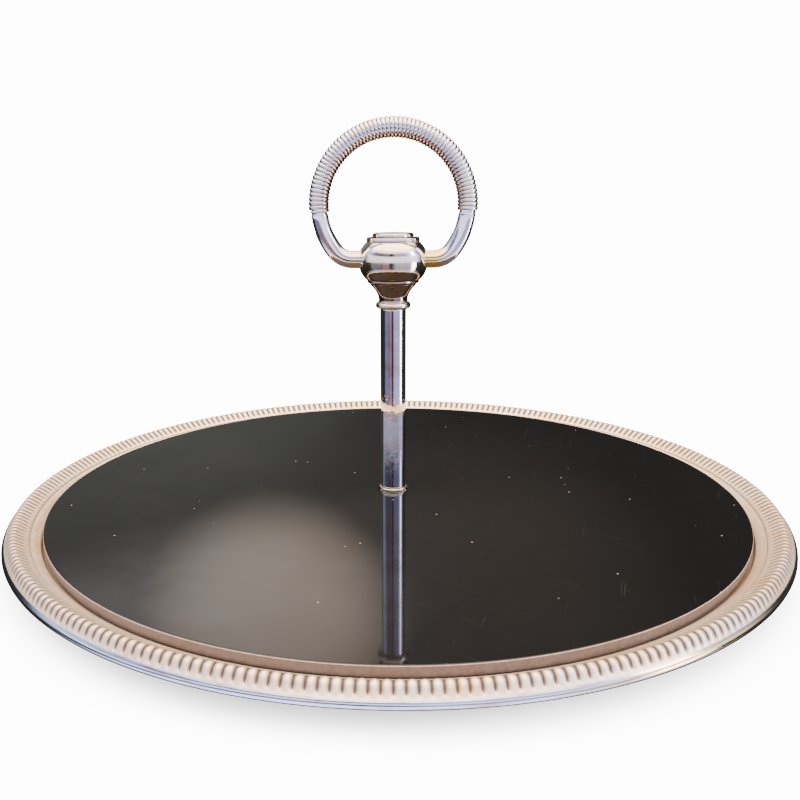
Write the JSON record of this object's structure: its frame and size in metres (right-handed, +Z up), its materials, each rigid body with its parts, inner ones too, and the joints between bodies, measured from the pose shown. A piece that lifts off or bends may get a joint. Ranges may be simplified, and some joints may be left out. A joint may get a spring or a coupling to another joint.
{
  "type": "round serving plate with ring handle",
  "caption": "Round black glass serving plate in a fluted plated tray, with a central post and a wire-wound ring handle that swings on the knob.",
  "frame": {"origin": "centre of the object's box at the table, under the post", "axes": "+Z up along the post, +X along the handle's pivot line, -Y towards the front; the plate stands on its feet at z = 0"},
  "size_m": [0.32, 0.32, 0.1697],
  "materials": {
    "tray_plating": "polished plating with a warm tarnish and fine scratches",
    "liner_felt": "thin pressed felt",
    "black_glass": "opaque black glass, polished, with fine scratches and dust",
    "bush_fibre": "plain moulded sleeve",
    "washer_brass": "bright brass, slightly tarnished",
    "tube_chrome": "mirror plating with fine scratches",
    "rod_steel": "plain threaded rod",
    "knob_plating": "polished plating with warm tarnish in its grooves",
    "bush_brass": "worn brass",
    "handle_plating": "polished plating, worn to brass at the stubs",
    "winding_wire": "bright wire with dark tarnish between its turns",
    "zinc_steel": "dull zinc plating",
    "foot_rubber": "matt black rubber"
  },
  "bodies": {
    "stand": {"tray_pan": "tray_plating", "bedding_disc": "liner_felt", "glass_insert": "black_glass", "glass_bush": "bush_fibre", "post_washer": "washer_brass", "post_tube": "tube_chrome", "tie_rod": "rod_steel", "neck_cup": "knob_plating", "knob_body": "knob_plating", "top_button": "knob_plating", "pivot_bush_left": "bush_brass", "pivot_bush_right": "bush_brass", "clamp_washer": "zinc_steel", "lock_washer": "zinc_steel", "clamp_nut": "zinc_steel", "foot_front_left": "foot_rubber", "foot_front_right": "foot_rubber", "foot_rear_left": "foot_rubber", "foot_rear_right": "foot_rubber"},
    "handle": {"handle_ring": "handle_plating", "grip_winding": "winding_wire"}
  },
  "joints": [
    {"name": "handle_swing", "type": "hinge", "parent": "stand", "child": "handle", "pos_m": [0, 0, 0.1131], "axis": [1, 0, 0], "range_deg": [-168, 168]}
  ]
}
